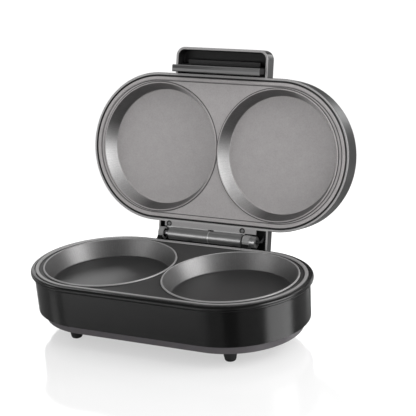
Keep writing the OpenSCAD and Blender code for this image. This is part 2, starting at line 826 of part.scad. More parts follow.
// Hollow handle, open towards the plate
module handle_shell() {
  inner_round = handle_round - handle_wall;
  start = -(lid_r - 2);
  difference() {
    translate([0, start, 0]) mirror([0, 1, 0])
      round_slab(handle_w, start - handle_y, handle_round, lid_rim_z, lid_rim_z + handle_depth)
        edge_profile(handle_round, handle_depth, 3);
    translate([0, -lid_r, 0]) mirror([0, 1, 0])
      round_slab(handle_w - 2 * handle_wall, -lid_r - handle_y - handle_wall, inner_round,
                 lid_rim_z - 1, lid_rim_z + handle_depth - handle_wall)
        pocket_profile(inner_round, handle_depth - handle_wall, 1.5);
  }
}

// Profile of a slab from its corner's axis out to r, with its top edge rounded
module edge_profile(r, depth, round) {
  polygon(concat(
    [[0, lid_rim_z], [r - 0.4, lid_rim_z], [r, lid_rim_z + 0.4]],
    arc(r - round, lid_rim_z + depth - round, round, 0, 90, 5),
    [[0, lid_rim_z + depth]]));
}

module pocket_profile(r, depth, round) {
  polygon(concat(
    [[0, lid_rim_z - 1], [r, lid_rim_z - 1]],
    arc(r - round, lid_rim_z + depth - round, round, 0, 90, 3),
    [[0, lid_rim_z + depth]]));
}

// Hollow hood over the hinge, open towards the plate
module hood_shell() {
  hood_round = 5;
  start = lid_r - 2;
  difference() {
    translate([0, start, 0])
      round_slab(hood_w, hood_y - start, hood_round, lid_rim_z, lid_rim_z + hood_depth)
        edge_profile(hood_round, hood_depth, 3);
    translate([0, lid_r, 0])
      round_slab(hood_w - 2 * hood_wall, hood_reach - hood_wall, hood_round - hood_wall,
                 lid_rim_z - 1, lid_rim_z + hood_depth - hood_wall)
        pocket_profile(hood_round - hood_wall, hood_depth - hood_wall, 1.5);
  }
}

// Flat strip along the hood's mouth that takes the hinge screws
module hinge_strip() {
  translate([strip_x0, lid_r - 1, lid_rim_z]) cube([strip_x1 - strip_x0, strip_w + 1, hood_wall]);
}

module hinge_screw_seat() {
  translate([0, 0, -eps]) cylinder(h = 1.3, r1 = hinge_screw_r + 1.35, r2 = hinge_screw_r + 0.2);
  translate([0, 0, -1]) cylinder(h = hood_wall + 2, r = hinge_screw_r + 0.2);
}

module hinge_screws() {
  open_lid() color([0.5, 0.5, 0.5])
    for (x = hinge_screw_x) translate([x, hinge_screw_y, lid_rim_z + 0.1]) difference() {
      union() {
        cylinder(h = 1.1, r1 = hinge_screw_r + 1, r2 = hinge_screw_r);
        cylinder(h = hood_wall + tab_t - 1, r = hinge_screw_r);
      }
      cross_recess(hinge_screw_r + 0.9);
    }
}

// One half of the hinge barrel, with the tab that is screwed behind the strip
module hinge_sleeve(x0, x1, tab_x0, tab_x1, screw_x) {
  open_lid() color([0.24, 0.24, 0.25]) difference() {
    union() {
      rod_x(x0, x1, hinge_y, hinge_z, sleeve_r);
      bar_x(tab_x0, tab_x1, [
        [lid_r + 0.3, tab_z], [hinge_y - sleeve_r + 1, tab_z], [hinge_y - 3, hinge_z + 4],
        [hinge_y - 3.2, tab_z + tab_t], [lid_r + 0.3, tab_z + tab_t]]);
    }
    rod_x(x0 - 8, x1 + 8, hinge_y, hinge_z, pin_r + run_gap);
    translate([screw_x, hinge_screw_y, tab_z - 1]) cylinder(h = tab_t + 2, r = hinge_screw_r + run_gap);
  }
}

module hinge_sleeve_left() {
  hinge_sleeve(barrel_x0, seam_x - sleeve_gap / 2, barrel_x0 - 5.5, seam_x - 3, hinge_screw_x[0]);
}

module hinge_sleeve_right() {
  hinge_sleeve(seam_x + sleeve_gap / 2, barrel_x1, seam_x + 3, barrel_x1, hinge_screw_x[1]);
}

module lid_top_panel() {
  open_lid() color([0.1, 0.1, 0.11]) difference() {
    racetrack(half) polygon([
      [0, panel_seat + press_gap], [panel_r, panel_seat + press_gap],
      [panel_r, lid_top - 0.4], [panel_r - 0.4, lid_top], [0, lid_top]]);
    for (side = [-1, 1]) translate([side * lens_x, lens_y, lid_top - 5]) cylinder(h = 10, r = lens_r + 0.1);
  }
}

module upper_plate() {
  open_lid() color([0.55, 0.54, 0.53])
    translate([0, 0, lid_z]) mirror([0, 0, 1])
      cooking_plate(up_mouth_r, up_depth, up_boss_top - lid_z - 0.02, up_sheet_low - up_floor_back - 0.02);
}

module upper_plate_screws() {
  open_lid() color([0.7, 0.7, 0.7])
    at_posts() translate([0, 0, up_screw_seat + head_h])
      mirror([0, 0, 1]) screw(up_screw_seat - up_boss_top + thread_l);
}

module upper_element() {
  open_lid() color([0.45, 0.43, 0.4]) heating_element(up_element_z);
}

module upper_reflector() {
  open_lid() color([0.75, 0.75, 0.76])
    translate([0, 0, up_sheet_low + sheet_t]) mirror([0, 0, 1]) reflector_tray();
}

module upper_reflector_screws() {
  open_lid() color([0.7, 0.7, 0.7])
    for (side = [-1, 1])
      translate([side * pocket_pitch / 2, 0, up_sheet_low + sheet_t + 1.4])
        mirror([0, 0, 1]) {
          cylinder(h = 1.38, r = head_r - 0.5);
          cylinder(h = 1.4 + sheet_t + up_sheet_low - up_floor_back - 0.8, r = screw_r);
        }
}

// Thermal fuse in its sleeve, held against the back of the upper plate
module thermal_fuse() {
  body_x = fuse_l / 2;
  open_lid() color([0.9, 0.88, 0.82]) {
    rod_x(-body_x, body_x, fuse_y, fuse_z, fuse_r);
    rod_x(-body_x - fuse_lead_l, body_x + fuse_lead_l, fuse_y, fuse_z, 0.8);
  }
}

// Lead from the hinge bush through the window to the fuse, and wires on to the element
module lid_wires() {
  lead_z = window_z + 2.5;
  end_x = fuse_l / 2 + fuse_lead_l + wire_gap;
  tap_z = lead_z + lead_r + wire_r + wire_gap;
  tip_x = tail_x - wire_gap;
  open_lid() color([0.1, 0.1, 0.1]) {
    wire([[bush_x + 0.5, hinge_y, hinge_z], [bush_x + bush_w, hinge_y, hinge_z],
          [window_x - 1.2, hinge_y - 0.6, hinge_z + 0.6], [window_x, hinge_y - 4, hinge_z + 2.5],
          [window_x, lid_r + 4, window_z - 0.5], [window_x, lid_r - 4, window_z],
          [window_x - 4, lid_r - 8, window_z + 1.5], [window_x - 15, lid_r - 11.5, lead_z],
          [end_x + 9.4, fuse_y + 7, lead_z], [end_x + 5, fuse_y + 3.5, fuse_z + 1.5],
          [end_x + 3, fuse_y + 0.7, fuse_z + 0.2], [end_x + 1.4, fuse_y, fuse_z],
          [end_x, fuse_y, fuse_z]], lead_r);
    wire([[-end_x, fuse_y, fuse_z], [-end_x - 1.4, fuse_y, fuse_z], [-end_x - 4, fuse_y + 1, fuse_z + 1.5],
          [-end_x - 4.5, fuse_y + 2.5, fuse_z + 5], [-end_x - 1, fuse_y + 2, fuse_z + 9],
          [4 - tip_x, fuse_y, up_element_z - 1.5], [4 - tip_x, fuse_y - 3.5, up_element_z],
          [1.8 - tip_x, element_bend_r, up_element_z], [-tip_x, element_bend_r, up_element_z]], wire_r);
    wire([[end_x + 9, fuse_y + 6.6, tap_z], [end_x + 1, fuse_y + 5, tap_z + 1],
          [tip_x - 4, fuse_y + 1, up_element_z - 3], [tip_x - 4, fuse_y - 3, up_element_z - 0.5],
          [tip_x - 1.8, element_bend_r, up_element_z], [tip_x, element_bend_r, up_element_z]], wire_r);
  }
}

// Indicator lens with a low dome on the panel
module indicator_lens(x) {
  open_lid() translate([x, lens_y, 0]) {
    rotate_extrude() polygon(concat(
      [[0, lens_low], [lens_r, lens_low], [lens_r, lid_top + press_gap],
       [lens_r + 0.8, lid_top + press_gap]],
      arc(lens_r - 0.2, lid_top + 0.1, 1, 0, 90, 4),
      [[0, lid_top + 1.3]]));
  }
}

module power_light() {
  color([0.75, 0.06, 0.05, 0.85]) indicator_lens(-lens_x);
}

module ready_light() {
  color([0.05, 0.6, 0.15, 0.85]) indicator_lens(lens_x);
}

module indicator_lamps() {
  open_lid() color([0.9, 0.85, 0.8, 0.6])
    for (side = [-1, 1])
      translate([side * lens_x, lens_y, lens_low - 0.2 - lamp_l]) cylinder(h = lamp_l, r = lens_r - 0.8);
}

module latch_pin() {
  open_lid() color([0.72, 0.72, 0.73])
    rod_x(-handle_w / 2 + 0.8, handle_w / 2 - 0.8, latch_y, latch_z, latch_pin_r);
}

// Latch: a tongue with a hook that swings under the base rim, and a finger lever inside the handle
module latch() {
  out_y = latch_in_y - latch_t;
  hook_low = hook_top - hook_t;
  corner = 1.6;
  open_lid() color([0.2, 0.2, 0.21]) difference() {
    union() {
      rod_x(-latch_half, latch_half, latch_y, latch_z, latch_boss_r);
      bar_x(-latch_half, latch_half, concat(
        [[latch_in_y, latch_z], [latch_in_y, hook_top], [latch_in_y + hook_reach, hook_top - 0.3]],
        arc(latch_in_y + hook_reach - 0.8, hook_low + 0.8, 0.8, 0, -90, 3),
        arc(out_y + corner, hook_low + corner, corner, -90, -180, 4),
        [[out_y, latch_z]]));
      bar_x(-latch_half + 8, latch_half - 8, [
        [latch_y, latch_z - lever_t / 2], [lever_y, latch_z - lever_t / 2], [lever_y - 0.8, latch_z],
        [lever_y, latch_z + lever_t / 2], [latch_y, latch_z + lever_t / 2]]);
    }
    rod_x(-handle_w, handle_w, latch_y, latch_z, latch_pin_r + run_gap);
  }
}

base_shell();
base_shell_back();
bottom_cover();
feet();
cover_screws();
lower_plate();
lower_plate_screws();
lower_element();
lower_reflector();
lower_reflector_screws();
thermostat();
thermostat_screws();
terminal_block();
base_wires();
cord_gland();
hinge_pin();
hinge_bush();
hinge_lead();
lid_casing();
lid_top_panel();
upper_plate();
upper_plate_screws();
upper_element();
upper_reflector();
upper_reflector_screws();
thermal_fuse();
lid_wires();
power_light();
ready_light();
indicator_lamps();
hinge_sleeve_left();
hinge_sleeve_right();
hinge_screws();
latch_pin();
latch();
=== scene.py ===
import math

import bpy
from mathutils import Matrix, Vector

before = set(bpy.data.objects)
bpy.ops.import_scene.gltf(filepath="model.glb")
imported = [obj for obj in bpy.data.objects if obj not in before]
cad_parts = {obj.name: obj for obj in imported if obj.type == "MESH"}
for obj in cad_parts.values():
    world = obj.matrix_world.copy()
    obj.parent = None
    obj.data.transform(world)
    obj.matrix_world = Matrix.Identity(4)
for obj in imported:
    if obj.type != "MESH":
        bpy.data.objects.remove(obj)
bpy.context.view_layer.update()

# Sizes that the materials need, in metres, in the shared frame. Those on the lid are of the closed lid.

MM = 0.001

# Hinge pin, and how far the lid stands open at rest
HINGE = Vector((0.0, 45.8938 * MM, 64.5 * MM))
OPEN_ANGLE = math.radians(105)

# Outlines with round ends, which run round the straight line at CENTRE_Y from -END_X to END_X
CENTRE_Y = -38.706 * MM
END_X = 66 * MM
PLATE_R = 69.4 * MM
PLATE_HOLE_R = 70.4 * MM
BORDER_R = 65.7 * MM

# Pockets, and the flat land around them, which lies LAND_DROP away from the lips
POCKET_X = 64 * MM
LAND_DROP = 1.4 * MM
LOWER_LIP_Z = 63.5 * MM
LOWER_FLOOR_Z = 47.1 * MM
LOWER_MOUTH_R = 62.4 * MM
LOWER_LIP_R = 63.8 * MM
LID_LIP_Z = 65 * MM
LID_FLOOR_Z = 79 * MM
LID_MOUTH_R = 62.9 * MM
LID_LIP_R = 63.85 * MM

# Casing: its mouth face, the line where the handle starts, and its two hollows
LID_RIM_Z = 65.4 * MM
GRIP_Y = -112 * MM
HANDLE_HOLLOW = {"half_width": 48.2 * MM, "front": -136 * MM, "back": -110 * MM, "depth": 13.1 * MM}
HOOD_HOLLOW = {"half_width": 58.7 * MM, "front": 34.2 * MM, "back": 57.1 * MM, "depth": 10.1 * MM}

# Base shell: the underside of its rim, and the ears round the pin
RIM_LOW_Z = 57.3 * MM
EAR_R = 6.3 * MM
EAR_HOLE_R = 4.2 * MM

# Hinge screws, and the seam between the sleeves
SCREW_MIDDLE_X = -7.9 * MM
SCREW_HALF_PITCH = 40.45 * MM
SCREW_Y = 36.3938 * MM
SCREW_R = 2.2 * MM
SCREW_MIDDLE_R = 1.45 * MM
SEAM_X = -1.5 * MM

# Latch: its lowest face and its outer edge
LATCH_LOW_Z = 52.9 * MM
LATCH_OUT_Y = -120.2 * MM

# Painted highlight and shade: spun walls are painted brightest at this angle about the pocket's axis and
# opposite to it, and painted dark where the cosine of the angle from there is under the first limit, and
# bright above the second.
HIGHLIGHT_FAN_ANGLE = math.radians(150)
HIGHLIGHT_FAN_LIMITS = (0.6, 0.97)

# Half the width over which one look turns into the next
SOFT_EDGE = 0.2 * MM


# Node helpers

class Nodes:
    """Makes the nodes of one tree. A value is a number, a colour or the output of another node."""

    def __init__(self, tree):
        self.tree = tree

    def new(self, kind, inputs=None, **settings):
        """Adds a node, sets its properties, and feeds its inputs by name or number."""
        made = self.tree.nodes.new(kind)
        for key, value in settings.items():
            setattr(made, key, value)
        for key, value in (inputs or {}).items():
            self.feed(made.inputs[key], value)
        return made

    def feed(self, socket, value):
        if isinstance(value, bpy.types.NodeSocket):
            self.tree.links.new(value, socket)
        else:
            socket.default_value = value

    def split(self, place):
        """X, Y and Z of a place."""
        return tuple(self.new("ShaderNodeSeparateXYZ", {0: place}).outputs)

    def maths(self, operation, first, second=0.0):
        return self.new("ShaderNodeMath", {0: first, 1: second}, operation=operation).outputs[0]

    def plus(self, first, second):
        return self.maths("ADD", first, second)

    def minus(self, first, second):
        return self.maths("SUBTRACT", first, second)

    def times(self, value, *factors):
        for factor in factors:
            value = self.maths("MULTIPLY", value, factor)
        return value

    def highest(self, value, *others):
        for other in others:
            value = self.maths("MAXIMUM", value, other)
        return value

    def apart(self, first, second):
        """How far apart two values are."""
        return self.maths("ABSOLUTE", self.minus(first, second))

    def length(self, first, second):
        """Distance between two places that are first apart one way and second apart across it."""
        return self.maths("SQRT", self.plus(self.times(first, first), self.times(second, second)))

    def step(self, value, start, end):
        """Goes smoothly from 0 at start to 1 at end. Start may be the larger of the two."""
        made = self.new("ShaderNodeMapRange", {"Value": value, "From Min": start, "From Max": end},
                        interpolation_type="SMOOTHSTEP")
        return made.outputs["Result"]

    def below(self, value, high, soft=SOFT_EDGE):
        """1 below high, with a soft edge."""
        return self.step(value, high + soft, high - soft)

    def within(self, value, low, high, soft=SOFT_EDGE):
        """1 between low and high, with soft edges. Soft is half an edge's width, in the value's units."""
        return self.times(self.step(value, low - soft, low + soft), self.below(value, high, soft))

    def line(self, value, middle, half_width):
        """1 where value is at middle, fading to 0 at half_width to either side."""
        return self.step(self.apart(value, middle), half_width, half_width * 0.4)

    def blend(self, factor, first, second):
        """First where factor is 0, and second where it is 1."""
        return self.new("ShaderNodeMix", {0: factor, 2: first, 3: second}, data_type="FLOAT").outputs[0]

    def blend_colours(self, factor, first, second):
        return self.new("ShaderNodeMix", {0: factor, 6: first, 7: second}, data_type="RGBA").outputs[2]

    def scale(self, colour, *factors):
        """Multiplies a colour by each of the factors."""
        if not isinstance(colour, bpy.types.NodeSocket):
            colour = colour[:3]
        for factor in factors:
            made = self.new("ShaderNodeVectorMath", {0: colour}, operation="SCALE")
            self.feed(made.inputs["Scale"], factor)
            colour = made.outputs[0]
        return colour

    def noise(self, place, size, detail=2.0):
        """Noise whose features are about size metres across."""
        made = self.new("ShaderNodeTexNoise", {"Vector": place, "Scale": 1 / size, "Detail": detail})
        return made.outputs["Fac"]

    def streaks(self, angle, size):
        """Fine streaks down a spun wall, about size radians apart."""
        along = self.maths("DIVIDE", angle, size)
        made = self.new("ShaderNodeTexNoise", {"W": along, "Scale": 1.0, "Detail": 3.0},
                        noise_dimensions="1D")
        return made.outputs["Fac"]

    def vary(self, noise, spread, middle=1.0):
        """Turns noise about 0.5 into values about middle."""
        return self.plus(self.times(self.minus(noise, 0.5), 2 * spread), middle)

    def shade(self, kind, **inputs):
        return self.new(kind, inputs).outputs[0]

    def mix_shaders(self, factor, first, second):
        return self.new("ShaderNodeMixShader", {0: factor, 1: first, 2: second}).outputs[0]


def grey(level, warm=0.0):
    return (level * (1 + warm), level, level, 1.0)


WHITE = grey(1.0)


# Places on the object

def frame_place(nodes, closed):
    """Object coordinates. With closed, those of the open lid are turned to where they are when it is shut."""
    place = nodes.new("ShaderNodeTexCoord").outputs["Object"]
    if closed:
        turn = Matrix.Rotation(OPEN_ANGLE, 3, "X")
        mapping = nodes.new("ShaderNodeMapping", {"Vector": place, "Rotation": (OPEN_ANGLE, 0, 0),
                                                  "Location": HINGE - turn @ HINGE})
        place = mapping.outputs[0]
    return place


def outline_distance(nodes, place):
    """Distance from the straight line inside the outlines with round ends."""
    across, along, _ = nodes.split(place)
    past_end = nodes.highest(nodes.minus(nodes.maths("ABSOLUTE", across), END_X), 0.0)
    return nodes.length(past_end, nodes.minus(along, CENTRE_Y))


def pocket_place(nodes, place):
    """Distance from the nearer pocket's axis, angle about it in radians, and height."""
    across, along, height = nodes.split(place)
    axis_x = nodes.times(nodes.maths("SIGN", across), POCKET_X)
    off_x = nodes.minus(across, axis_x)
    off_y = nodes.minus(along, CENTRE_Y)
    return nodes.length(off_x, off_y), nodes.maths("ARCTAN2", off_y, off_x), height


def screw_distance(nodes, place):
    """Distance from the axis of the nearer hinge screw."""
    across, along, _ = nodes.split(place)
    off_x = nodes.minus(nodes.apart(across, SCREW_MIDDLE_X), SCREW_HALF_PITCH)
    return nodes.length(off_x, nodes.minus(along, SCREW_Y))


def hollow_mask(nodes, place, hollow):
    """1 inside one of the hollows of the casing."""
    across, along, height = nodes.split(place)
    return nodes.times(nodes.below(nodes.maths("ABSOLUTE", across), hollow["half_width"]),
                       nodes.within(along, hollow["front"], hollow["back"]),
                       nodes.below(height, LID_RIM_Z + hollow["depth"]))


def plate_masks(nodes, place, up, lip_z, floor_z, mouth_r, lip_r):
    """Where a plate's spun walls, pocket floors and raised parts are, and where shade is painted in its
    creases.

    up is 1 where the plate faces up, and -1 where it faces down.
    """
    radius, _, height = pocket_place(nodes, place)
    edge = outline_distance(nodes, place)
    depth = nodes.times(nodes.minus(lip_z, height), up)
    floor_depth = abs(lip_z - floor_z)
    inside = nodes.step(radius, mouth_r + 0.2 * MM, mouth_r - 0.1 * MM)
    above_floor = nodes.step(depth, floor_depth - 0.3 * MM, floor_depth - 1.3 * MM)
    below_lip = nodes.step(depth, 0.2 * MM, 0.6 * MM)
    wall = nodes.times(above_floor, below_lip, inside)
    floor = nodes.times(nodes.step(depth, floor_depth - 1.0 * MM, floor_depth - 0.3 * MM), inside)
    above_land = nodes.step(depth, LAND_DROP - 0.2 * MM, LAND_DROP - 0.5 * MM)
    border = nodes.step(edge, BORDER_R, BORDER_R + 0.3 * MM)
    raised = nodes.times(nodes.highest(above_land, border), nodes.minus(1.0, wall))
    # Painted shade: thin dark lines on the land at the foot of each pocket's lip and of the border.
    shade_line_half_width = 0.6 * MM
    round_lip = nodes.line(radius, lip_r + 0.3 * MM, shade_line_half_width)
    along_border = nodes.line(edge, BORDER_R - 0.5 * MM, shade_line_half_width)
    on_land = nodes.step(depth, LAND_DROP - 0.6 * MM, LAND_DROP - 0.2 * MM)
    painted_crease_shade = nodes.times(nodes.highest(round_lip, along_border), on_land)
    return {"wall": wall, "floor": floor, "raised": raised, "painted_crease_shade": painted_crease_shade}


# Materials

def start_material(name, closed=False):
    """A material, the maker of its nodes, and the place that its patterns are drawn by."""
    material = bpy.data.materials.new(name)
    material.use_nodes = True
    nodes = Nodes(material.node_tree)
    return material, nodes, frame_place(nodes, closed)


def coat(nodes, colour, roughness, height, depth, metallic=0.0):
    """Feeds the shader. The surface rises by up to depth metres where height is 1."""
    shader = nodes.tree.nodes["Principled BSDF"]
    nodes.feed(shader.inputs["Base Color"], colour)
    nodes.feed(shader.inputs["Roughness"], roughness)
    nodes.feed(shader.inputs["Metallic"], metallic)
    bump = nodes.new("ShaderNodeBump", {"Strength": 1.0, "Distance": depth, "Height": height})
    nodes.feed(shader.inputs["Normal"], bump.outputs[0])


def plate_coating(name, closed, sizes, flat, wall_colour, raised_colour, wall_shine, raised_shine,
                  highlight_fan_depth, wall_rough, floor_rough):
    """Non-stick coating of a cooking plate: matt flats, satin spun pocket walls, lips and border, with
    painted shade in its creases and along its outer edge.

    The shines say how metallic the walls and the raised parts are. The fan depth is how much of
    its colour a spun wall keeps where its painted highlight fan is dark.
    """
    material, nodes, place = start_material(name, closed)
    masks = plate_masks(nodes, place, **sizes)
    wall, raised = masks["wall"], masks["raised"]
    _, angle, _ = pocket_place(nodes, place)
    speckle = nodes.noise(place, 0.5 * MM)
    weave = nodes.noise(place, 1.4 * MM, detail=1.0)
    mottle = nodes.noise(place, 9 * MM, detail=3.0)
    streaks = nodes.blend(wall, 0.5, nodes.streaks(angle, 0.012))
    # Painted highlight and shade on the spun walls: lighter at one angle about the pocket's axis and its
    # opposite, darker between.
    from_highlight = nodes.maths("ABSOLUTE", nodes.maths("COSINE", nodes.minus(angle, HIGHLIGHT_FAN_ANGLE)))
    highlight_fan = nodes.blend(nodes.step(from_highlight, *HIGHLIGHT_FAN_LIMITS), highlight_fan_depth, 1.0)
    # Painted shade: the plate's outer edge is darkened where it meets the gap to the rim.
    outer_edge_shade = nodes.line(outline_distance(nodes, place), PLATE_R, 0.6 * MM)
    colour = nodes.blend_colours(wall, flat, wall_colour)
    colour = nodes.blend_colours(raised, colour, raised_colour)
    colour = nodes.scale(colour, nodes.vary(speckle, 0.14), nodes.vary(mottle, 0.08), nodes.vary(weave, 0.12),
                         nodes.blend(wall, 1.0, highlight_fan), nodes.blend(outer_edge_shade, 1.0, 0.3),
                         nodes.vary(streaks, 0.16), nodes.blend(masks["painted_crease_shade"], 1.0, 0.12))
    satin = nodes.highest(nodes.times(wall, wall_shine), nodes.times(raised, raised_shine))
    flat_rough = nodes.blend(masks["floor"], 0.44, floor_rough)
    roughness = nodes.plus(nodes.blend(satin, flat_rough, wall_rough), nodes.times(speckle, 0.06))
    coat(nodes, colour, roughness, speckle, 0.02 * MM, satin)
    return material


def lower_coating():
    """Black, with grey spun walls; its lips and border are painted light grey as a painted highlight."""
    sizes = {"up": 1.0, "lip_z": LOWER_LIP_Z, "floor_z": LOWER_FLOOR_Z, "mouth_r": LOWER_MOUTH_R,
             "lip_r": LOWER_LIP_R}
    # The raised colour paints the lips and border light grey as a painted highlight.
    return plate_coating("lower_coating", closed=False, sizes=sizes, flat=grey(0.026),
                         wall_colour=grey(0.17, 0.01), raised_colour=grey(0.3, 0.01), wall_shine=0.85,
                         raised_shine=0.35, highlight_fan_depth=1.0, wall_rough=0.38, floor_rough=0.27)


def upper_coating():
    """Painted lit copy of the lower plate's coating: light grey flats and light spun walls, with a painted
    highlight fan on the walls.
    """
    sizes = {"up": -1.0, "lip_z": LID_LIP_Z, "floor_z": LID_FLOOR_Z, "mouth_r": LID_MOUTH_R,
             "lip_r": LID_LIP_R}
    # Painted lit copy: flats and walls get light greys where the lower plate's same coating is black, and the
    # fan depth darkens the walls away from their painted highlight.
    return plate_coating("upper_coating", closed=True, sizes=sizes, flat=grey(0.3, 0.05),
                         wall_colour=grey(0.68), raised_colour=grey(0.3, 0.05), wall_shine=0.96,
                         raised_shine=0.0, highlight_fan_depth=0.27, wall_rough=0.34, floor_rough=0.44)


def hinge_screw_steel():
    """Dark screw head, lighter in the middle."""
    material, nodes, place = start_material("hinge_screw_steel", closed=True)
    bright = nodes.below(screw_distance(nodes, place), SCREW_MIDDLE_R, 0.15 * MM)
    grain = nodes.noise(place, 0.6 * MM)
    colour = nodes.scale(nodes.blend_colours(bright, grey(0.012), grey(0.14)), nodes.vary(grain, 0.2))
    coat(nodes, colour, nodes.vary(grain, 0.04, 0.4), grain, 0.01 * MM, metallic=0.5)
    return material


def sleeve_metal():
    """Satin grey metal with a painted highlight along the seam between the two sleeves."""
    material, nodes, place = start_material("sleeve_metal", closed=True)
    across, _, _ = nodes.split(place)
    # Painted highlight: a light line across the sleeves at their seam.
    seam_highlight = nodes.line(across, SEAM_X, 0.9 * MM)
    grain = nodes.noise(place, 0.8 * MM)
    colour = nodes.scale(nodes.blend_colours(seam_highlight, grey(0.36), grey(0.7)), nodes.vary(grain, 0.1))
    coat(nodes, colour, nodes.vary(grain, 0.04, 0.38), grain, 0.02 * MM, metallic=0.85)
    return material


def casing_plastic():
    """Satin dark plastic, light grey on its mouth face, with painted shade: near black in its hollows, along
    the gap round the plate and round the screws.
    """
    material, nodes, place = start_material("casing_plastic", closed=True)
    _, along, height = nodes.split(place)
    edge = outline_distance(nodes, place)
    face = nodes.step(height, LID_RIM_Z + 0.5 * MM, LID_RIM_Z + 0.1 * MM)
    # Painted shade: the hole round the plate and the two hollows are painted near black, and so are a strip
    # of the mouth face along the gap at the plate and a ring round each screw.
    plate_hole = nodes.step(edge, PLATE_HOLE_R + 0.3 * MM, PLATE_HOLE_R + 0.1 * MM)
    hollow = nodes.highest(plate_hole, hollow_mask(nodes, place, HANDLE_HOLLOW),
                           hollow_mask(nodes, place, HOOD_HOLLOW))
    plate_gap_shade = nodes.line(edge, PLATE_HOLE_R, 0.8 * MM)
    screw_ring_shade = nodes.below(screw_distance(nodes, place), SCREW_R + 0.8 * MM)
    grip = nodes.below(along, GRIP_Y, 1 * MM)
    face_colour = nodes.blend_colours(nodes.highest(plate_gap_shade, screw_ring_shade), grey(0.26, 0.02), grey(0.01))
    colour = nodes.blend_colours(grip, grey(0.026), grey(0.06))
    colour = nodes.blend_colours(hollow, colour, grey(0.006))
    colour = nodes.blend_colours(face, colour, face_colour)
    grain = nodes.noise(place, 0.7 * MM, detail=3.0)
    roughness = nodes.plus(nodes.blend(hollow, 0.28, 0.6), nodes.times(grain, 0.08))
    coat(nodes, nodes.scale(colour, nodes.vary(grain, 0.15)), roughness, grain, 0.03 * MM)
    return material


def shell_gloss():
    """Gloss black moulding, dull on the underside of its rim and satin grey on its ears."""
    material, nodes, place = start_material("shell_gloss")
    _, along, height = nodes.split(place)
    under_rim = nodes.within(height, RIM_LOW_Z - 0.2 * MM, RIM_LOW_Z + 1.2 * MM)
    from_pin = nodes.length(nodes.minus(along, HINGE.y), nodes.minus(height, HINGE.z))
    ear = nodes.within(from_pin, EAR_HOLE_R, EAR_R)
    ripple = nodes.noise(place, 12 * MM, detail=1.0)
    colour = nodes.scale(nodes.blend_colours(ear, grey(0.003), grey(0.2)), nodes.vary(ripple, 0.2))
    roughness = nodes.blend(under_rim, nodes.vary(ripple, 0.02, 0.22), 0.85)
    coat(nodes, colour, nodes.blend(ear, roughness, 0.36), ripple, 0.02 * MM)
    return material


def latch_plastic():
    """Dark plastic; the hook's underside has a painted reflection, black at the left and grey at the right,
    and two painted highlight lines along its edges.
    """
    material, nodes, place = start_material("latch_plastic", closed=True)
    across, along, height = nodes.split(place)
    underside = nodes.step(height, LATCH_LOW_Z + 2 * MM, LATCH_LOW_Z + 1 * MM)
    # Painted highlights: two light lines along the edges of the hook's underside.
    ledge = nodes.within(along, LATCH_OUT_Y - 0.2 * MM, LATCH_OUT_Y + 1.2 * MM)
    bar = nodes.within(along, LATCH_OUT_Y + 3.7 * MM, LATCH_OUT_Y + 6.2 * MM)
    edge_highlights = nodes.times(nodes.highest(ledge, bar), underside)
    # Painted reflection: the hook's underside goes from black at the left to grey at the right.
    rightward_reflection = nodes.step(across, -35 * MM, 30 * MM)
    colour = nodes.blend_colours(rightward_reflection, grey(0.008), grey(0.07))
    colour = nodes.blend_colours(underside, grey(0.006), colour)
    colour = nodes.blend_colours(edge_highlights, colour, grey(0.11))
    grain = nodes.noise(place, 0.6 * MM)
    roughness = nodes.plus(nodes.blend(underside, 0.5, 0.32), nodes.times(grain, 0.04))
    coat(nodes, nodes.scale(colour, nodes.vary(grain, 0.08)), roughness, grain, 0.005 * MM)
    return material


# Colour, roughness, size and depth of the grain, how metallic it is, and the pieces made of it
PLAIN_MATERIALS = {
    "base_paint": ((0.085, 0.079, 0.085), 0.42, 0.5 * MM, 0.02 * MM, 0.0, ["bottom_cover"]),
    "rubber": ((0.015, 0.015, 0.016), 0.6, 0.8 * MM, 0.03 * MM, 0.0,
               ["feet", "cord_gland", "hinge_lead", "lid_wires"]),
    "bush_metal": ((0.42, 0.42, 0.42), 0.36, 0.8 * MM, 0.02 * MM, 0.85, ["hinge_bush"]),
    "pin_steel": ((0.55, 0.55, 0.56), 0.28, 0.6 * MM, 0.01 * MM, 1.0, ["hinge_pin", "latch_pin"]),
    "screw_steel": ((0.3, 0.3, 0.3), 0.35, 0.6 * MM, 0.01 * MM, 1.0,
                    ["cover_screws", "lower_plate_screws", "upper_plate_screws", "lower_reflector_screws",
                     "upper_reflector_screws", "thermostat_screws"]),
    "panel_gloss": ((0.012, 0.012, 0.013), 0.18, 12 * MM, 0.02 * MM, 0.0, ["lid_top_panel"]),
    "lens_red": ((0.55, 0.02, 0.015), 0.15, 4 * MM, 0.01 * MM, 0.0, ["power_light"]),
    "lens_green": ((0.02, 0.4, 0.06), 0.15, 4 * MM, 0.01 * MM, 0.0, ["ready_light"]),
    "lamp_glass": ((0.7, 0.66, 0.6), 0.2, 4 * MM, 0.01 * MM, 0.0, ["indicator_lamps"]),
    "element_sheath": ((0.3, 0.28, 0.26), 0.4, 1 * MM, 0.02 * MM, 1.0, ["lower_element", "upper_element"]),
    "reflector_sheet": ((0.6, 0.6, 0.62), 0.35, 2 * MM, 0.02 * MM, 1.0,
                        ["lower_reflector", "upper_reflector"]),
    "thermostat_metal": ((0.5, 0.48, 0.45), 0.4, 1 * MM, 0.02 * MM, 0.9, ["thermostat"]),
    "block_plastic": ((0.75, 0.75, 0.72), 0.5, 1 * MM, 0.02 * MM, 0.0, ["terminal_block", "thermal_fuse"]),
    "wire_insulation": ((0.6, 0.56, 0.48), 0.55, 1 * MM, 0.02 * MM, 0.0, ["base_wires"]),
}


def plain(name, colour, roughness, grain_size, grain_depth, metallic):
    """Even material with a fine grain in its colour, roughness and surface."""
    material, nodes, place = start_material(name)
    grain = nodes.noise(place, grain_size)
    coat(nodes, nodes.scale(colour, nodes.vary(grain, 0.08)), nodes.vary(grain, 0.04, roughness),
         grain, grain_depth, metallic)
    return material


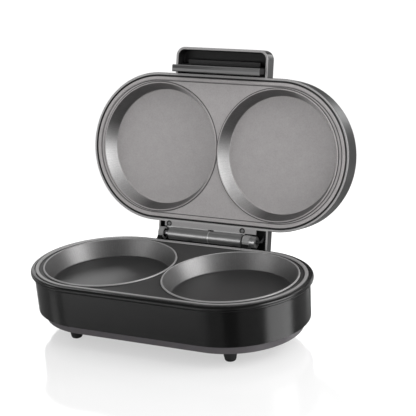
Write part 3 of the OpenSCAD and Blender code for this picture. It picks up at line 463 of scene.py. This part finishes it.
def give(material, pieces):
    for piece in pieces:
        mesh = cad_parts[piece].data
        mesh.materials.clear()
        mesh.materials.append(material)


def dress_object():
    give(lower_coating(), ["lower_plate"])
    give(upper_coating(), ["upper_plate"])
    give(casing_plastic(), ["lid_casing"])
    give(shell_gloss(), ["base_shell", "base_shell_back"])
    give(sleeve_metal(), ["hinge_sleeve_left", "hinge_sleeve_right"])
    give(hinge_screw_steel(), ["hinge_screws"])
    give(latch_plastic(), ["latch"])
    for name, (*look, pieces) in PLAIN_MATERIALS.items():
        give(plain(name, *look), pieces)


# Camera

AZIMUTH = math.radians(29.3)
ELEVATION = math.radians(18.16)
ROLL = math.radians(-4.21)
DISTANCE = 1.3775
TARGET = Vector((0.04615, -0.038706, 0.12663))
LENS_MM = 132.27
SENSOR_MM = 36


def bearing_arrow(azimuth, elevation):
    """Arrow from the object at angles in radians. Azimuth 0 is its front, and a quarter turn its right."""
    return Vector((math.sin(azimuth) * math.cos(elevation), -math.cos(azimuth) * math.cos(elevation),
                   math.sin(elevation)))


def add_camera():
    back = bearing_arrow(AZIMUTH, ELEVATION)
    right = Vector((math.cos(AZIMUTH), math.sin(AZIMUTH), 0))
    up = back.cross(right)
    turned_right = right * math.cos(ROLL) + up * math.sin(ROLL)
    turned_up = up * math.cos(ROLL) - right * math.sin(ROLL)
    camera = bpy.data.objects.new("camera", bpy.data.cameras.new("camera"))
    camera.data.lens = LENS_MM
    camera.data.sensor_width = SENSOR_MM
    camera.data.sensor_fit = "HORIZONTAL"
    axes = Matrix((turned_right, turned_up, back)).transposed()
    camera.matrix_world = Matrix.Translation(TARGET + back * DISTANCE) @ axes.to_4x4()
    bpy.context.scene.collection.objects.link(camera)
    bpy.context.scene.camera = camera


# Light and floor

# Softboxes: azimuth and elevation in degrees, distance, width and height in metres, power in watts
SOFTBOXES = {
    "right_light": (96, 23, 1.6, 1.2, 1.2, 24),
    "front_light": (-30, 9, 2.0, 1.3, 0.65, 6.2),
    "left_light": (-68, 25, 2.0, 0.5, 0.5, 1.2),
    "edge_light": (160, 40, 2.0, 1.0, 0.35, 2.5),
    "back_right_light": (169, 10, 2.0, 0.45, 0.5, 1.5),
    "upper_light": (80, 52, 1.8, 0.6, 0.5, 4.0),
    "back_left_light": (-146, 20, 2.0, 1.4, 0.5, 2.8),
}
LIGHT_TARGET = Vector((0, 0, 0.12))

# Between these bearings from this corner of the base, reflections find nothing bright
DARK_CORNER = (0.085, -0.072)
DARK_FROM = math.radians(10)
DARK_TO = math.radians(33)

# Floor sheet: its tone, how rough its polish is, and the shares of polish and white glow that show
FLOOR_HALF_SIZE = 6.0
FLOOR_TONE = 0.8
POLISH_ROUGHNESS = 0.1
POLISH_SHARE = 0.4
GLOW_STRENGTH = 1.62
GLOW_SHARE = 0.32

# What reflections see of the floor: its tone and polish beside the object, its tone far from it,
# and the distances from the middle at which the far look starts and the near look ends
NEAR_TONE = 0.24
NEAR_POLISH = 0.5
FAR_TONE = 0.15
NEAR_LIMITS = (0.55, 0.25)

# Light of the world on the object
SOFT_LIGHT = 0.8

# What reflections see of the world: its light at the horizon and overhead, the heights between
# which the one turns into the other, and how much the dark band and the dark patch take away
HORIZON_LIGHT = 0.9
OVERHEAD_LIGHT = 0.1
OVERHEAD_LIMITS = (0.05, 0.5)
BAND_SHADE = 0.55
PATCH_SHADE = 0.85

# The dark patch behind, as X and Y of the direction
PATCH_LEFT = -0.35
PATCH_RIGHT = -0.04
PATCH_BACK = (0.5, 0.7)


def add_softbox(name, azimuth, elevation, distance, width, height, power):
    """Rectangular lamp aimed at the object."""
    back = bearing_arrow(math.radians(azimuth), math.radians(elevation))
    lamp = bpy.data.lights.new(name, "AREA")
    lamp.shape = "RECTANGLE"
    lamp.size = width
    lamp.size_y = height
    lamp.energy = power
    holder = bpy.data.objects.new(name, lamp)
    holder.location = LIGHT_TARGET + back * distance
    holder.rotation_euler = back.to_track_quat("Z", "Y").to_euler()
    holder.visible_camera = False
    bpy.context.scene.collection.objects.link(holder)


def floor_tone_for_reflections(nodes, place, near):
    """Dim, with a wedge from the base's corner that is black."""
    across, along, _ = nodes.split(place)
    bearing = nodes.maths("ARCTAN2", nodes.minus(across, DARK_CORNER[0]), nodes.minus(DARK_CORNER[1], along))
    wedge = nodes.within(bearing, DARK_FROM, DARK_TO, math.radians(2))
    level = nodes.times(nodes.minus(1.0, wedge), nodes.blend(near, FAR_TONE, NEAR_TONE))
    return nodes.scale(WHITE, level)


def floor_sheet():
    """Pale polished sheet: white to the camera, with the object's shadow and a faint mirror image of it."""
    material = bpy.data.materials.new("floor_sheet")
    material.use_nodes = True
    nodes = Nodes(material.node_tree)
    nodes.tree.nodes.remove(nodes.tree.nodes["Principled BSDF"])
    rays = nodes.new("ShaderNodeLightPath").outputs
    place = nodes.new("ShaderNodeTexCoord").outputs["Object"]
    from_middle = nodes.new("ShaderNodeVectorMath", {0: place}, operation="LENGTH").outputs["Value"]
    near = nodes.step(from_middle, *NEAR_LIMITS)
    body = nodes.shade("ShaderNodeBsdfDiffuse", Color=grey(FLOOR_TONE))
    polish = nodes.shade("ShaderNodeBsdfAnisotropic", Color=WHITE, Roughness=POLISH_ROUGHNESS)
    glow = nodes.shade("ShaderNodeEmission", Color=WHITE, Strength=GLOW_STRENGTH)
    dim = nodes.shade("ShaderNodeBsdfDiffuse", Color=floor_tone_for_reflections(nodes, place, near))
    dim_polished = nodes.mix_shaders(nodes.times(near, NEAR_POLISH), dim, polish)
    for_others = nodes.mix_shaders(rays["Is Glossy Ray"], body, dim_polished)
    for_camera = nodes.mix_shaders(GLOW_SHARE, nodes.mix_shaders(POLISH_SHARE, body, polish), glow)
    surface = nodes.mix_shaders(rays["Is Camera Ray"], for_others, for_camera)
    nodes.feed(nodes.tree.nodes["Material Output"].inputs["Surface"], surface)
    return material


def add_floor():
    size = FLOOR_HALF_SIZE
    mesh = bpy.data.meshes.new("floor")
    corners = [(-size, -size, 0), (size, -size, 0), (size, size, 0), (-size, size, 0)]
    mesh.from_pydata(corners, [], [(0, 1, 2, 3)])
    mesh.materials.append(floor_sheet())
    floor = bpy.data.objects.new("floor", mesh)
    bpy.context.scene.collection.objects.link(floor)


def light_for_reflections(nodes):
    """Bright at the horizon and dim overhead, with a dark band in front and a dark patch behind."""
    direction = nodes.new("ShaderNodeTexCoord").outputs["Generated"]
    across, along, height = nodes.split(direction)
    overhead = nodes.step(height, *OVERHEAD_LIMITS)
    bearing = nodes.maths("ARCTAN2", across, nodes.times(along, -1.0))
    band = nodes.within(bearing, DARK_FROM, DARK_TO, math.radians(4))
    patch = nodes.times(nodes.within(across, PATCH_LEFT, PATCH_RIGHT, 0.05), nodes.step(along, *PATCH_BACK))
    dark = nodes.highest(nodes.times(band, BAND_SHADE), nodes.times(patch, PATCH_SHADE))
    return nodes.times(nodes.blend(overhead, HORIZON_LIGHT, OVERHEAD_LIGHT), nodes.minus(1.0, dark))


def light_world():
    """White to the camera and through clear things, soft on the object, and shaped for reflections."""
    world = bpy.data.worlds.new("studio")
    bpy.context.scene.world = world
    world.use_nodes = True
    nodes = Nodes(world.node_tree)
    rays = nodes.new("ShaderNodeLightPath").outputs
    soft = nodes.shade("ShaderNodeBackground", Color=WHITE, Strength=SOFT_LIGHT)
    shaped = nodes.shade("ShaderNodeBackground", Color=WHITE, Strength=light_for_reflections(nodes))
    white = nodes.shade("ShaderNodeBackground", Color=WHITE, Strength=1.0)
    for_others = nodes.mix_shaders(rays["Is Glossy Ray"], soft, shaped)
    seen = nodes.highest(rays["Is Camera Ray"], rays["Is Transmission Ray"])
    surface = nodes.mix_shaders(seen, for_others, white)
    nodes.feed(nodes.tree.nodes["World Output"].inputs["Surface"], surface)


dress_object()
add_camera()
add_floor()
light_world()
for softbox, settings in SOFTBOXES.items():
    add_softbox(softbox, *settings)
bpy.context.scene.view_settings.view_transform = "Standard"
